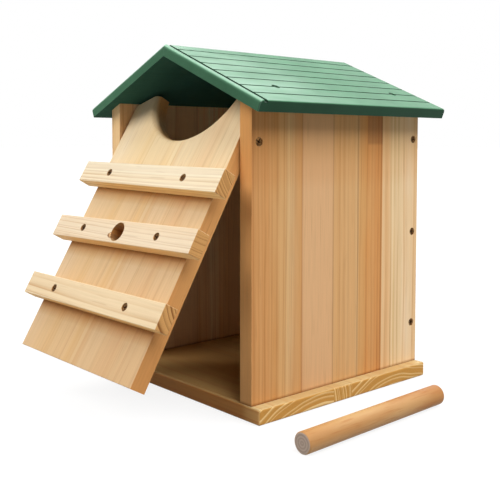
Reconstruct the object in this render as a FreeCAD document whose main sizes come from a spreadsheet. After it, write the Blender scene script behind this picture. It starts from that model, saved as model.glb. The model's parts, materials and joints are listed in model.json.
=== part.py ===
import FreeCAD, Part
import os

import Sketcher

# Owl nest box. Millimetres, +Z up, front towards -Y, origin on the ground at the middle of the base board.
# The door is drawn swung out at its lower end, and the loose perch lies on the ground beside the box.

# Driving dimensions: name, value, what it measures.
SIZES = [
    ("body_width", 220, "outside of one side panel to the outside of the other"),
    ("body_depth", 227, "front edge to back edge of a side panel"),
    ("wall_height", 259.5, "outer face of a side panel, above the base board"),
    ("side_thickness", 15, "side panel"),
    ("back_thickness", 15, "back panel"),
    ("base_thickness", 14, "base board"),
    ("base_side_overhang", 11, "base board beyond each side panel"),
    ("base_end_overhang", 1, "base board beyond the front and the back"),
    ("base_easing", 1.8, "rounded edges of the base board"),
    ("roof_slope", 22.8, "degrees below level, on each side of the ridge"),
    ("roof_thickness", 10, "roof panel, square to the slope"),
    ("left_reach", 131.5, "ridge to the left eave, measured level"),
    ("right_reach", 135, "ridge to the right eave, measured level"),
    ("roof_front_overhang", 12, "roof in front of the side panels"),
    ("roof_back_overhang", 12.5, "roof behind the side panels"),
    ("roof_strips", 8, "strips that the grooves mark on each slope"),
    ("first_strip", 13, "narrow strip beside the ridge"),
    ("groove_width", 2, "groove between two strips"),
    ("groove_depth", 2, "every groove in the roof"),
    ("rim_width", 4.4, "front edge of the roof to the groove beside its rim"),
    ("rim_groove", 3.6, "groove beside the rim"),
    ("rim_rounding", 3.5, "front and back top edges of the roof"),
    ("eave_easing", 1.5, "rounded top edge of the eave"),
    ("door_thickness", 15, "door panel"),
    ("door_easing", 0.6, "rounded front edges of the door"),
    ("door_side_gap", 1.25, "door to each side panel"),
    ("door_floor_gap", 0.7, "closed door to the base board"),
    ("door_roof_gap", 2, "closed door to the roof, measured upwards"),
    ("door_stop_gap", 0.3, "battens of the closed door to the front edges of the side panels"),
    ("door_open_angle", 29.75, "degrees that the door is drawn open"),
    ("pivot_setback", 8.5, "hinge line behind the front edges of the side panels"),
    ("pivot_height", 226.4, "hinge line above the base board"),
    ("entrance_radius", 65.5, "round scoop in the top of the door"),
    ("entrance_rise", 64.5, "middle of the scoop above the hinge line"),
    ("entrance_offset", 1.5, "middle of the scoop to the right of the door's middle"),
    ("entrance_rounding", 6.5, "rounded front edge of the scoop"),
    ("batten_length", 221.5, "batten, reaching over the side panels"),
    ("batten_width", 22, "batten, up the door"),
    ("batten_thickness", 13.5, "batten, out from the door"),
    ("batten_easing", 0.8, "rounded edges of a batten"),
    ("upper_rise", 178.3, "upper batten's middle above the lower end of the door"),
    ("middle_rise", 120.5, "middle batten's middle above the lower end of the door"),
    ("lower_rise", 57.3, "lower batten's middle above the lower end of the door"),
    ("upper_tilt", 0.7, "degrees that the upper batten's right end droops"),
    ("middle_tilt", -0.9, "degrees that the middle batten's right end droops"),
    ("lower_tilt", -0.3, "degrees that the lower batten's right end droops"),
    ("perch_diameter", 18, "perch dowel"),
    ("perch_length", 178, "perch dowel"),
    ("perch_easing", 1.5, "rounded ends of the perch"),
    ("perch_clearance", 0.1, "perch to its socket, all round"),
    ("perch_socket_depth", 10, "perch socket in the door, behind the middle batten"),
    ("perch_aside", 186.5, "middle of the loose perch to the right of the box's middle"),
    ("perch_ahead", 41.7, "middle of the loose perch in front of the box's middle"),
    ("perch_lie_angle", 1.2, "degrees that the loose perch lies turned"),
    ("screw_diameter", 4, "all screws"),
    ("screw_point", 6, "length of a screw's point"),
    ("screw_clearance", 0.05, "fixed screw to the wood, all round"),
    ("head_diameter", 7.5, "countersunk screw head"),
    ("head_rim", 0.6, "upright rim of a screw head"),
    ("head_sink", 0.8, "screw head below the face of the wood"),
    ("cross_span", 4.6, "cross recess in a screw head"),
    ("cross_width", 1.1, "arm of the cross recess"),
    ("cross_depth", 1.6, "cross recess"),
    ("long_screw", 40, "screw of the walls, roof, base and hinge line"),
    ("short_screw", 25, "screw of a batten"),
    ("pivot_clearance", 0.08, "pivot screw to its hole in a side panel, all round"),
    ("pivot_head_clearance", 0.3, "pivot screw head to its seat, all round"),
    ("wall_screw_middle", 135.2, "middle wall screw above the base board"),
    ("wall_screw_spacing", 94.2, "one wall screw to the next"),
    ("roof_screw_inset", 37.7, "first roof screw behind the front edges of the side panels"),
    ("roof_screw_spacing", 161, "one roof screw to the next"),
    ("roof_screw_shift", 3.5, "roof screw inwards from the middle of a side panel's top"),
    ("batten_screw_spacing", 120, "one batten screw to the other"),
    ("base_screw_spacing", 150, "one base screw of a side panel to the other"),
    ("back_screw_spacing", 110, "one base screw of the back panel to the other"),
    ("mount_hole_diameter", 6, "hanging hole in the back panel"),
    ("mount_hole_middle", 130, "middle of the hanging holes above the base board"),
    ("mount_hole_spacing", 150, "one hanging hole to the other"),
]

# Derived sizes, as expressions on the sheet.
TAN_SLOPE = "tan(sizes.roof_slope)"
HALF_WIDTH = "(sizes.body_width / 2)"
HALF_DEPTH = "(sizes.body_depth / 2)"
INNER_HALF_WIDTH = f"({HALF_WIDTH} - sizes.side_thickness)"
SIDE_MIDDLE = f"({HALF_WIDTH} - sizes.side_thickness / 2)"
BACK_MIDDLE = f"({HALF_DEPTH} - sizes.back_thickness / 2)"
WALL_TOP = "(sizes.base_thickness + sizes.wall_height)"
INNER_WALL_TOP = f"({WALL_TOP} + sizes.side_thickness * {TAN_SLOPE})"
RIDGE = f"({WALL_TOP} + {HALF_WIDTH} * {TAN_SLOPE})"
ROOF_DEPTH = "(sizes.body_depth + sizes.roof_front_overhang + sizes.roof_back_overhang)"
ROOF_BACK = f"({HALF_DEPTH} + sizes.roof_back_overhang)"
MITRE = f"(sizes.roof_thickness * {TAN_SLOPE})"
FRONT_GROOVE = f"({ROOF_DEPTH} - sizes.rim_width - sizes.rim_groove / 2)"
PIVOT_Y = f"(sizes.pivot_setback - {HALF_DEPTH})"
PIVOT_Z = "(sizes.base_thickness + sizes.pivot_height)"
DOOR_FRONT = "(sizes.pivot_setback + sizes.door_stop_gap)"
DOOR_HALF_WIDTH = f"({INNER_HALF_WIDTH} - sizes.door_side_gap)"
DOOR_BOTTOM = "(sizes.pivot_height - sizes.door_floor_gap)"
DOOR_APEX = f"({RIDGE} - sizes.door_roof_gap - {PIVOT_Z})"
DOOR_SHOULDER = f"({DOOR_APEX} - {DOOR_HALF_WIDTH} * {TAN_SLOPE})"
SOCKET_RADIUS = "(sizes.perch_diameter / 2 + sizes.perch_clearance)"
SHANK_RADIUS = "(sizes.screw_diameter / 2)"
HEAD_RADIUS = "(sizes.head_diameter / 2)"
ROOF_SCREW_ACROSS = f"({SIDE_MIDDLE} - sizes.roof_screw_shift)"
ROOF_SCREW_SINK = f"(({HEAD_RADIUS} + sizes.screw_clearance) * {TAN_SLOPE})"
ROOF_SCREW_FACE = (
    f"({RIDGE} + sizes.roof_thickness / cos(sizes.roof_slope) - {ROOF_SCREW_ACROSS} * {TAN_SLOPE})"
)
ROOF_SCREW_TOP = f"({ROOF_SCREW_FACE} - {ROOF_SCREW_SINK})"
ROOF_SCREW_FRONT = f"(sizes.roof_screw_inset - {HALF_DEPTH})"
ROOF_SCREW_REACH = (
    f"(({ROOF_SCREW_ACROSS} - sizes.roof_thickness * sin(sizes.roof_slope)) / cos(sizes.roof_slope))"
)
WALL_SCREW_Z = "(sizes.base_thickness + sizes.wall_screw_middle)"
MOUNT_HOLE_Z = "(sizes.base_thickness + sizes.mount_hole_middle)"

SIDES = {"left": -1, "right": 1}
BATTENS = ("upper", "middle", "lower")
# Each batten's middle below the hinge line.
BATTEN_DROP = {name: f"({DOOR_BOTTOM} - sizes.{name}_rise)" for name in BATTENS}
QUARTER_TURN = "90"
HALF_TURN = "180"
# Full cone of a countersunk head, in degrees: the cone is as deep as the head stands out from the shank.
HEAD_CONE = 90
# Largest distance at which a corner still counts as lying on an edge that is looked for.
CLOSE = 1e-6

doc = FreeCAD.newDocument("owl_nest_box")


def write_sheet():
    """Put the driving dimensions into the spreadsheet, one row each."""
    sheet = doc.addObject("Spreadsheet::Sheet", "sizes")
    for row, (name, value, meaning) in enumerate(SIZES, start=1):
        sheet.set(f"A{row}", name)
        sheet.set(f"B{row}", str(value))
        sheet.setAlias(f"B{row}", name)
        sheet.set(f"C{row}", meaning)
    doc.recompute()


def place(x="0", y="0", z="0", axis="0; 0; 1", angle="0"):
    """Placement expression: a turn about an axis, then a shift."""
    return f"placement(vector({x}; {y}; {z}); rotation(vector({axis}); {angle}))"


DOOR_FRAME = place(y=PIVOT_Y, z=PIVOT_Z, axis="1; 0; 0", angle="-sizes.door_open_angle")


def batten_frame(name):
    """Placement expression of a batten: the middle of its back face, on the door's front."""
    drop = BATTEN_DROP[name]
    on_door = place(y=f"-{DOOR_FRONT}", z=f"-{drop}", axis="0; 1; 0", angle=f"sizes.{name}_tilt")
    return f"{DOOR_FRAME} * {on_door}"


def new_body(label, placement=""):
    """Empty body of one sub-part."""
    body = doc.addObject("PartDesign::Body", label)
    body.Label = label
    if placement:
        body.setExpression("Placement", placement)
    return body


def origin_feature(body, role):
    """Origin plane or axis of a body."""
    return next(feature for feature in body.Origin.OriginFeatures if feature.Role == role)


def new_sketch(body, name, role, offset=""):
    """Sketch on an origin plane of its body, or set off from that plane."""
    sketch = body.newObject("Sketcher::SketchObject", name)
    sketch.AttachmentSupport = [(origin_feature(body, role), "")]
    sketch.MapMode = "FlatFace"
    if offset:
        sketch.setExpression("AttachmentOffset", offset)
    doc.recompute()
    return sketch


def fix_point(sketch, geometry, end, x, y):
    """Tie a sketch point to two expressions."""
    for kind, expression in (("DistanceX", x), ("DistanceY", y)):
        value = float(sketch.evalExpression(expression))
        index = sketch.addConstraint(Sketcher.Constraint(kind, -1, 1, geometry, end, value))
        sketch.setExpression(f"Constraints[{index}]", expression)


def draw_polygon(sketch, corners):
    """Closed outline through corners given as pairs of expressions."""
    values = [[float(sketch.evalExpression(expression)) for expression in corner] for corner in corners]
    points = [FreeCAD.Vector(x, y, 0) for x, y in values]
    first = sketch.GeometryCount
    for index, point in enumerate(points):
        sketch.addGeometry(Part.LineSegment(point, points[(index + 1) % len(points)]))
    for index, (x, y) in enumerate(corners):
        following = first + (index + 1) % len(corners)
        sketch.addConstraint(Sketcher.Constraint("Coincident", first + index, 2, following, 1))
        fix_point(sketch, first + index, 1, x, y)


def draw_rectangle(sketch, half_width, half_height):
    """Rectangle about the sketch's origin."""
    draw_polygon(
        sketch,
        [
            (f"-{half_width}", f"-{half_height}"),
            (half_width, f"-{half_height}"),
            (half_width, half_height),
            (f"-{half_width}", half_height),
        ],
    )


def draw_circle(sketch, x, y, radius):
    """Circle whose centre and radius are expressions."""
    value = float(sketch.evalExpression(radius))
    circle = sketch.addGeometry(Part.Circle(FreeCAD.Vector(), FreeCAD.Vector(0, 0, 1), value))
    index = sketch.addConstraint(Sketcher.Constraint("Radius", circle, value))
    sketch.setExpression(f"Constraints[{index}]", radius)
    fix_point(sketch, circle, 3, x, y)


def pad(body, sketch, length, side_type="One side", reverse=False):
    """Board or bar from a closed sketch."""
    feature = body.newObject("PartDesign::Pad", "pad")
    feature.Profile = sketch
    feature.SideType = side_type
    feature.Reversed = reverse
    feature.setExpression("Length", length)
    doc.recompute()
    return feature


def pocket(body, sketch, length="", side_type="One side"):
    """Cut from a closed sketch, through everything when no length is given."""
    feature = body.newObject("PartDesign::Pocket", "pocket")
    feature.Profile = sketch
    feature.SideType = side_type
    if length:
        feature.setExpression("Length", length)
    else:
        feature.Type = "ThroughAll"
    doc.recompute()
    return feature


def drill(body, sketch, depth="", reverse=False, clearance="sizes.screw_clearance"):
    """Round screw holes at the circles of a sketch, through everything when no depth is given."""
    doc.recompute()
    hole = body.newObject("PartDesign::Hole", "hole")
    hole.Profile = sketch
    hole.Reversed = reverse
    hole.DrillPoint = "Flat"
    hole.setExpression("Diameter", f"sizes.screw_diameter + 2 * {clearance}")
    if depth:
        hole.DepthType = "Dimension"
        hole.setExpression("Depth", depth)
    else:
        hole.DepthType = "ThroughAll"
    doc.recompute()
    return hole


def sink_heads(hole, sink="sizes.head_sink", clearance="sizes.screw_clearance"):
    """Give screw holes a straight recess and a cone below it for countersunk heads."""
    hole.HoleCutType = "Counterdrill"
    hole.HoleCutCustomValues = True
    hole.HoleCutCountersinkAngle = HEAD_CONE
    hole.setExpression("HoleCutDiameter", f"sizes.head_diameter + 2 * {clearance}")
    hole.setExpression("HoleCutDepth", f"{sink} + sizes.head_rim + {clearance}")
    doc.recompute()


def ease(body, base, edges, radius):
    """Round some edges of a feature, or all of them when none are named."""
    feature = body.newObject("PartDesign::Fillet", "fillet")
    feature.Base = (base, edges)
    feature.UseAllEdges = not edges
    feature.setExpression("Radius", radius)
    doc.recompute()
    return feature


def edges_at(feature, curve=object, **places):
    """Names of the edges of one kind of curve whose ends both lie at the given coordinates."""
    found = []
    for index, edge in enumerate(feature.Shape.Edges, start=1):
        ends = [vertex.Point for vertex in edge.Vertexes]
        found_here = all(abs(getattr(end, axis) - value) < CLOSE for end in ends for axis, value in places.items())
        if found_here and isinstance(edge.Curve, curve):
            found.append(f"Edge{index}")
    return found


def screw_row(label, length, placement, count=1, spacing=""):
    """Countersunk cross-head screws in a row along X, heads up, the first one at the origin."""
    body = new_body(label, placement)
    profile = new_sketch(body, "profile", "XZ_Plane")
    neck = f"-(sizes.head_rim + {HEAD_RADIUS} - {SHANK_RADIUS})"
    draw_polygon(
        profile,
        [
            ("0", "0"),
            (HEAD_RADIUS, "0"),
            (HEAD_RADIUS, "-sizes.head_rim"),
            (SHANK_RADIUS, neck),
            (SHANK_RADIUS, f"-({length} - sizes.screw_point)"),
            ("0", f"-{length}"),
        ],
    )
    shank = body.newObject("PartDesign::Revolution", "shank")
    shank.Profile = profile
    shank.ReferenceAxis = (profile, ["V_Axis"])
    doc.recompute()
    cross = new_sketch(body, "cross", "XY_Plane")
    arm = "(sizes.cross_width / 2)"
    tip = "(sizes.cross_span / 2)"
    quarter = [(arm, tip), (arm, arm), (tip, arm)]
    corners = list(quarter)
    corners += [(x, f"-{y}") for x, y in reversed(quarter)]
    corners += [(f"-{x}", f"-{y}") for x, y in quarter]
    corners += [(f"-{x}", y) for x, y in reversed(quarter)]
    draw_polygon(cross, corners)
    recess = pocket(body, cross, "sizes.cross_depth")
    if count > 1:
        row = body.newObject("PartDesign::LinearPattern", "row")
        row.Originals = [shank, recess]
        row.Direction = (origin_feature(body, "X_Axis"), [""])
        row.Mode = "Spacing"
        row.Occurrences = count
        row.setExpression("Offset", spacing)
        body.Tip = row
    doc.recompute()


def base_board():
    """Floor of the box, with screws driven up through it."""
    body = new_body("base_board")
    outline = new_sketch(body, "outline", "XY_Plane")
    half_length = f"({HALF_WIDTH} + sizes.base_side_overhang)"
    draw_rectangle(outline, half_length, f"({HALF_DEPTH} + sizes.base_end_overhang)")
    board = pad(body, outline, "sizes.base_thickness")
    ease(body, board, [], "sizes.base_easing")
    marks = new_sketch(body, "screw_marks", "XY_Plane")
    for side in SIDES.values():
        for end in (-1, 1):
            along = f"{end} * sizes.base_screw_spacing / 2"
            draw_circle(marks, f"{side} * {SIDE_MIDDLE}", along, SHANK_RADIUS)
        draw_circle(marks, f"{side} * sizes.back_screw_spacing / 2", BACK_MIDDLE, SHANK_RADIUS)
    sink_heads(drill(body, marks, reverse=True))


def side_panel(name, side):
    """Upright side, its top cut to the roof's slope, with the hinge hole and the screw holes."""
    body = new_body(f"{name}_side_panel")
    outline = new_sketch(body, "outline", "XZ_Plane")
    inner = f"{side} * {INNER_HALF_WIDTH}"
    outer = f"{side} * {HALF_WIDTH}"
    draw_polygon(
        outline,
        [
            (inner, "sizes.base_thickness"),
            (outer, "sizes.base_thickness"),
            (outer, WALL_TOP),
            (inner, INNER_WALL_TOP),
        ],
    )
    pad(body, outline, "sizes.body_depth", side_type="Symmetric")
    from_left = side < 0
    wall_marks = new_sketch(body, "wall_screw_marks", "YZ_Plane", place(z=outer))
    for step in (-1, 0, 1):
        height = f"{WALL_SCREW_Z} + {step} * sizes.wall_screw_spacing"
        draw_circle(wall_marks, BACK_MIDDLE, height, SHANK_RADIUS)
    sink_heads(drill(body, wall_marks, reverse=from_left))
    pivot_mark = new_sketch(body, "pivot_mark", "YZ_Plane", place(z=outer))
    draw_circle(pivot_mark, PIVOT_Y, PIVOT_Z, SHANK_RADIUS)
    pivot_hole = drill(body, pivot_mark, reverse=from_left, clearance="sizes.pivot_clearance")
    sink_heads(pivot_hole, clearance="sizes.pivot_head_clearance")
    roof_marks = new_sketch(body, "roof_screw_marks", "XY_Plane", place(z=ROOF_SCREW_TOP))
    for step in (0, 1):
        along = f"{ROOF_SCREW_FRONT} + {step} * sizes.roof_screw_spacing"
        draw_circle(roof_marks, f"{side} * {ROOF_SCREW_ACROSS}", along, SHANK_RADIUS)
    drill(body, roof_marks, "sizes.long_screw + sizes.screw_clearance")
    base_marks = new_sketch(body, "base_screw_marks", "XY_Plane", place(z="sizes.head_sink"))
    for end in (-1, 1):
        along = f"{end} * sizes.base_screw_spacing / 2"
        draw_circle(base_marks, f"{side} * {SIDE_MIDDLE}", along, SHANK_RADIUS)
    drill(body, base_marks, "sizes.long_screw + sizes.screw_clearance", reverse=True)


def back_panel():
    """Back wall between the side panels, with a gable top and two hanging holes."""
    body = new_body("back_panel")
    outline = new_sketch(body, "outline", "XZ_Plane", place(z=f"-{HALF_DEPTH}"))
    draw_polygon(
        outline,
        [
            (f"-{INNER_HALF_WIDTH}", "sizes.base_thickness"),
            (INNER_HALF_WIDTH, "sizes.base_thickness"),
            (INNER_HALF_WIDTH, INNER_WALL_TOP),
            ("0", RIDGE),
            (f"-{INNER_HALF_WIDTH}", INNER_WALL_TOP),
        ],
    )
    pad(body, outline, "sizes.back_thickness")
    screw_depth = "sizes.long_screw + sizes.screw_clearance"
    for side in SIDES.values():
        face = place(z=f"{side} * ({HALF_WIDTH} - sizes.head_sink)")
        wall_marks = new_sketch(body, "wall_screw_marks", "YZ_Plane", face)
        for step in (-1, 0, 1):
            height = f"{WALL_SCREW_Z} + {step} * sizes.wall_screw_spacing"
            draw_circle(wall_marks, BACK_MIDDLE, height, SHANK_RADIUS)
        drill(body, wall_marks, screw_depth, reverse=side < 0)
    base_marks = new_sketch(body, "base_screw_marks", "XY_Plane", place(z="sizes.head_sink"))
    for side in SIDES.values():
        draw_circle(base_marks, f"{side} * sizes.back_screw_spacing / 2", BACK_MIDDLE, SHANK_RADIUS)
    drill(body, base_marks, screw_depth, reverse=True)
    mount_marks = new_sketch(body, "mount_marks", "XZ_Plane")
    for end in (-1, 1):
        height = f"{MOUNT_HOLE_Z} + {end} * sizes.mount_hole_spacing / 2"
        draw_circle(mount_marks, "0", height, "sizes.mount_hole_diameter / 2")
    pocket(body, mount_marks)


def draw_groove(sketch, middle, width):
    """Square groove in the top of a roof panel, about a place on the sketch's first axis."""
    floor = "(sizes.roof_thickness - sizes.groove_depth)"
    low, high = f"{middle} - {width} / 2", f"{middle} + {width} / 2"
    draw_polygon(
        sketch,
        [
            (low, "sizes.roof_thickness"),
            (low, floor),
            (high, floor),
            (high, "sizes.roof_thickness"),
        ],
    )


def roof_panel(name, side):
    """One slope of the roof. X runs down the slope from the ridge, and the back edge is at zero."""
    slope = place(y=ROOF_BACK, z=RIDGE, axis="0; 1; 0", angle=f"{side} * sizes.roof_slope")
    body = new_body(f"{name}_roof_panel", slope)
    outline = new_sketch(body, "outline", "XZ_Plane")
    set_back = "sizes.roof_thickness * sin(sizes.roof_slope)"
    length = f"((sizes.{name}_reach - {set_back}) / cos(sizes.roof_slope))"
    eave = f"{side} * {length}"
    draw_polygon(
        outline,
        [
            ("0", "0"),
            (eave, "0"),
            (eave, "sizes.roof_thickness"),
            (f"{-side} * {MITRE}", "sizes.roof_thickness"),
        ],
    )
    board = pad(body, outline, ROOF_DEPTH)
    box = board.Shape.BoundBox
    rim_edges = edges_at(board, y=box.YMin, z=box.ZMax) + edges_at(board, y=box.YMax, z=box.ZMax)
    rim = ease(body, board, rim_edges, "sizes.rim_rounding")
    eave_edge = edges_at(rim, x=box.XMax if side > 0 else box.XMin, z=box.ZMax)
    ease(body, rim, eave_edge, "sizes.eave_easing")
    rim_groove = new_sketch(body, "rim_groove", "YZ_Plane")
    draw_groove(rim_groove, f"-{FRONT_GROOVE}", "sizes.rim_groove")
    pocket(body, rim_groove, side_type="Symmetric")
    strip_groove = new_sketch(body, "strip_groove", "XZ_Plane", place(z=FRONT_GROOVE))
    draw_groove(strip_groove, f"{side} * (sizes.first_strip - {MITRE})", "sizes.groove_width")
    groove = pocket(body, strip_groove)
    grooves = body.newObject("PartDesign::LinearPattern", "grooves")
    grooves.Originals = [groove]
    grooves.Direction = (origin_feature(body, "X_Axis"), [""])
    grooves.Reversed = side < 0
    grooves.Mode = "Spacing"
    grooves.setExpression("Occurrences", "sizes.roof_strips - 1")
    left_over = f"({length} + {MITRE} - sizes.first_strip)"
    grooves.setExpression("Offset", f"{left_over} / (sizes.roof_strips - 1)")
    body.Tip = grooves
    doc.recompute()
    down_slope = f"{side} * {ROOF_SCREW_REACH}"
    level = {"axis": "0; 1; 0", "angle": f"{-side} * sizes.roof_slope"}
    on_slope = place(down_slope, z="sizes.roof_thickness", **level)
    marks = new_sketch(body, "screw_marks", "XY_Plane", f"{on_slope} * {place(z=ROOF_SCREW_SINK)}")
    for step in (0, 1):
        along = f"{ROOF_SCREW_FRONT} - {ROOF_BACK} + {step} * sizes.roof_screw_spacing"
        draw_circle(marks, "0", along, SHANK_RADIUS)
    sink_heads(drill(body, marks), sink=f"2 * {ROOF_SCREW_SINK}")


def door_panel():
    """Swinging front. Its frame is the hinge line, with the door hanging straight down."""
    body = new_body("door_panel", DOOR_FRAME)
    outline = new_sketch(body, "outline", "XZ_Plane", place(z=DOOR_FRONT))
    draw_polygon(
        outline,
        [
            (f"-{DOOR_HALF_WIDTH}", f"-{DOOR_BOTTOM}"),
            (DOOR_HALF_WIDTH, f"-{DOOR_BOTTOM}"),
            (DOOR_HALF_WIDTH, DOOR_SHOULDER),
            ("0", DOOR_APEX),
            (f"-{DOOR_HALF_WIDTH}", DOOR_SHOULDER),
        ],
    )
    pad(body, outline, "sizes.door_thickness", reverse=True)
    scoop = new_sketch(body, "scoop", "XZ_Plane")
    draw_circle(scoop, "sizes.entrance_offset", "sizes.entrance_rise", "sizes.entrance_radius")
    board = pocket(body, scoop, side_type="Symmetric")
    front = board.Shape.BoundBox.YMin
    rounded = ease(body, board, edges_at(board, Part.Circle, y=front), "sizes.entrance_rounding")
    ease(body, rounded, edges_at(rounded, Part.Line, y=front), "sizes.door_easing")
    socket = new_sketch(body, "perch_socket", "XZ_Plane", place(z=DOOR_FRONT))
    draw_circle(socket, "0", f"-{BATTEN_DROP['middle']}", SOCKET_RADIUS)
    pocket(body, socket, "sizes.perch_socket_depth")
    heads = place(z=f"{DOOR_FRONT} + sizes.batten_thickness - sizes.head_sink")
    marks = new_sketch(body, "batten_screw_marks", "XZ_Plane", heads)
    for name in BATTENS:
        for end in (-1, 1):
            reach = f"{end} * sizes.batten_screw_spacing / 2"
            across = f"{reach} * cos(sizes.{name}_tilt)"
            down = f"-{BATTEN_DROP[name]} - {reach} * sin(sizes.{name}_tilt)"
            draw_circle(marks, across, down, SHANK_RADIUS)
    drill(body, marks, "sizes.short_screw + sizes.screw_clearance")
    for side in SIDES.values():
        face = place(z=f"{side} * ({HALF_WIDTH} - sizes.head_sink)")
        pivot_mark = new_sketch(body, "pivot_mark", "YZ_Plane", face)
        draw_circle(pivot_mark, "0", "0", SHANK_RADIUS)
        drill(body, pivot_mark, "sizes.long_screw + sizes.screw_clearance", reverse=side < 0)


def batten(name):
    """Cross bar screwed to the door's front. The middle one holds the perch."""
    body = new_body(f"{name}_batten", batten_frame(name))
    outline = new_sketch(body, "outline", "XZ_Plane")
    draw_rectangle(outline, "(sizes.batten_length / 2)", "(sizes.batten_width / 2)")
    bar = pad(body, outline, "sizes.batten_thickness")
    ease(body, bar, [], "sizes.batten_easing")
    marks = new_sketch(body, "screw_marks", "XZ_Plane", place(z="sizes.batten_thickness"))
    for end in (-1, 1):
        draw_circle(marks, f"{end} * sizes.batten_screw_spacing / 2", "0", SHANK_RADIUS)
    sink_heads(drill(body, marks))
    if name == "middle":
        socket = new_sketch(body, "perch_socket", "XZ_Plane")
        draw_circle(socket, "0", "0", SOCKET_RADIUS)
        pocket(body, socket, side_type="Symmetric")


def perch_dowel():
    """Loose perch, lying on the ground along the right side of the box."""
    radius = "(sizes.perch_diameter / 2)"
    lying = place("sizes.perch_aside", "-sizes.perch_ahead", radius, angle="sizes.perch_lie_angle")
    body = new_body("perch_dowel", lying)
    outline = new_sketch(body, "outline", "XZ_Plane")
    draw_circle(outline, "0", "0", radius)
    rod = pad(body, outline, "sizes.perch_length", side_type="Symmetric")
    ends = [f"Edge{index}" for index, edge in enumerate(rod.Shape.Edges, start=1) if edge.isClosed()]
    ease(body, rod, ends, "sizes.perch_easing")


def screws():
    """All screws, one node for each row of alike screws in one place."""
    long_length = "sizes.long_screw"
    for name, side in SIDES.items():
        outer = f"{side} * ({HALF_WIDTH} - sizes.head_sink)"
        inwards = {"axis": "0; 1; 0", "angle": f"{side} * {QUARTER_TURN}"}
        screw_row(f"{name}_pivot_screw", long_length, f"{DOOR_FRAME} * {place(outer, **inwards)}")
        start = f"{WALL_SCREW_Z} + {side} * sizes.wall_screw_spacing"
        wall = place(outer, BACK_MIDDLE, start, **inwards)
        screw_row(f"{name}_wall_screws", long_length, wall, 3, "sizes.wall_screw_spacing")
        down = place(f"{side} * {ROOF_SCREW_ACROSS}", ROOF_SCREW_FRONT, ROOF_SCREW_TOP, angle=QUARTER_TURN)
        screw_row(f"{name}_roof_screws", long_length, down, 2, "sizes.roof_screw_spacing")
        front = "-sizes.base_screw_spacing / 2"
        across = f"{side} * {SIDE_MIDDLE}"
        up = place(across, front, "sizes.head_sink", axis="1; 1; 0", angle=HALF_TURN)
        screw_row(f"{name}_base_screws", long_length, up, 2, "sizes.base_screw_spacing")
    left = "-sizes.back_screw_spacing / 2"
    up = place(left, BACK_MIDDLE, "sizes.head_sink", axis="1; 0; 0", angle=HALF_TURN)
    screw_row("back_base_screws", long_length, up, 2, "sizes.back_screw_spacing")
    face = "-(sizes.batten_thickness - sizes.head_sink)"
    for name in BATTENS:
        into_door = place("-sizes.batten_screw_spacing / 2", face, axis="1; 0; 0", angle=QUARTER_TURN)
        placement = f"{batten_frame(name)} * {into_door}"
        screw_row(f"{name}_batten_screws", "sizes.short_screw", placement, 2, "sizes.batten_screw_spacing")


def check_document():
    """Stop on any object that failed, and on any sub-part without a sound shape."""
    for item in doc.Objects:
        if {"Invalid", "Error"} & set(item.State):
            raise RuntimeError(f"{item.Name} ({item.Label}) failed: {item.State}")
    for body in doc.findObjects("PartDesign::Body"):
        if body.Shape.isNull() or not body.Shape.isValid() or not body.Shape.Solids:
            raise RuntimeError(f"{body.Label} has no sound shape")


def write_parts():
    """One STEP file for each sub-part."""
    os.makedirs("parts", exist_ok=True)
    for body in doc.findObjects("PartDesign::Body"):
        body.Shape.exportStep(f"parts/{body.Label}.step")
        print(f"{body.Label}: {len(body.Shape.Solids)} solid(s), {body.Shape.Volume / 1000:.2f} cm3")


write_sheet()
base_board()
for side_name, side_sign in SIDES.items():
    side_panel(side_name, side_sign)
    roof_panel(side_name, side_sign)
back_panel()
door_panel()
for batten_name in BATTENS:
    batten(batten_name)
perch_dowel()
screws()
doc.recompute()
check_document()
write_parts()
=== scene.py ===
"""Owl nest box: pine walls, a green roof, a front that swings out on two screws, and a loose perch."""

import json
import logging
import math
from collections.abc import Mapping, Sequence
from dataclasses import dataclass, field
from enum import Enum

import bmesh
import bpy
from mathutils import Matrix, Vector


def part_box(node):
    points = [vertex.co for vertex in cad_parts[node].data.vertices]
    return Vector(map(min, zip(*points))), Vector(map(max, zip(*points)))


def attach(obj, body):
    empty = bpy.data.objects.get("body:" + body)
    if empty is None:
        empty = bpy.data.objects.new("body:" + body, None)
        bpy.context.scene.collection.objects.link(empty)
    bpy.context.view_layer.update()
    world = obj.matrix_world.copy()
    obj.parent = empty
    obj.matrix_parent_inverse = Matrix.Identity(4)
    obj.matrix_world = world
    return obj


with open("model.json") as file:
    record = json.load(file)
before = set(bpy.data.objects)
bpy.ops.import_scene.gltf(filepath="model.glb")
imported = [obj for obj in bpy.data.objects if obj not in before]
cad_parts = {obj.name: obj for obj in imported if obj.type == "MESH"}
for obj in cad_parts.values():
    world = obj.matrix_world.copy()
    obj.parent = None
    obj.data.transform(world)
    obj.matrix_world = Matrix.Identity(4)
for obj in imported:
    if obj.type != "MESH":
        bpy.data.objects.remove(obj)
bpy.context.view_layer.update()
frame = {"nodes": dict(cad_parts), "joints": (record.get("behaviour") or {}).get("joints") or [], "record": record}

LOG = logging.getLogger("owl_nest_box")

Colour = tuple[float, float, float, float]
Triple = tuple[float, float, float]
Pair = tuple[float, float]
Stops = Sequence[tuple[float, Colour]]
Socket = bpy.types.NodeSocket
Input = float | Sequence[float] | Socket

MM = 0.001
NO_INPUTS: Mapping[str | int, Input] = {}
ZERO: Triple = (0, 0, 0)
# How squarely a surface faces a way where it starts to count as that face, and where it fully does.
SQUARE_ON: Pair = (0.6, 0.9)
# Range that most of a cloudy pattern lies in.
MOST_CLOUDS: Pair = (0.3, 0.7)


class Body(Enum):
    """Moving body that carries a new piece."""

    DOOR = "door"


class Slot(Enum):
    """Name of a new piece's material slot, which nothing here gives a piece."""

    PINE = "pine"


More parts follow.
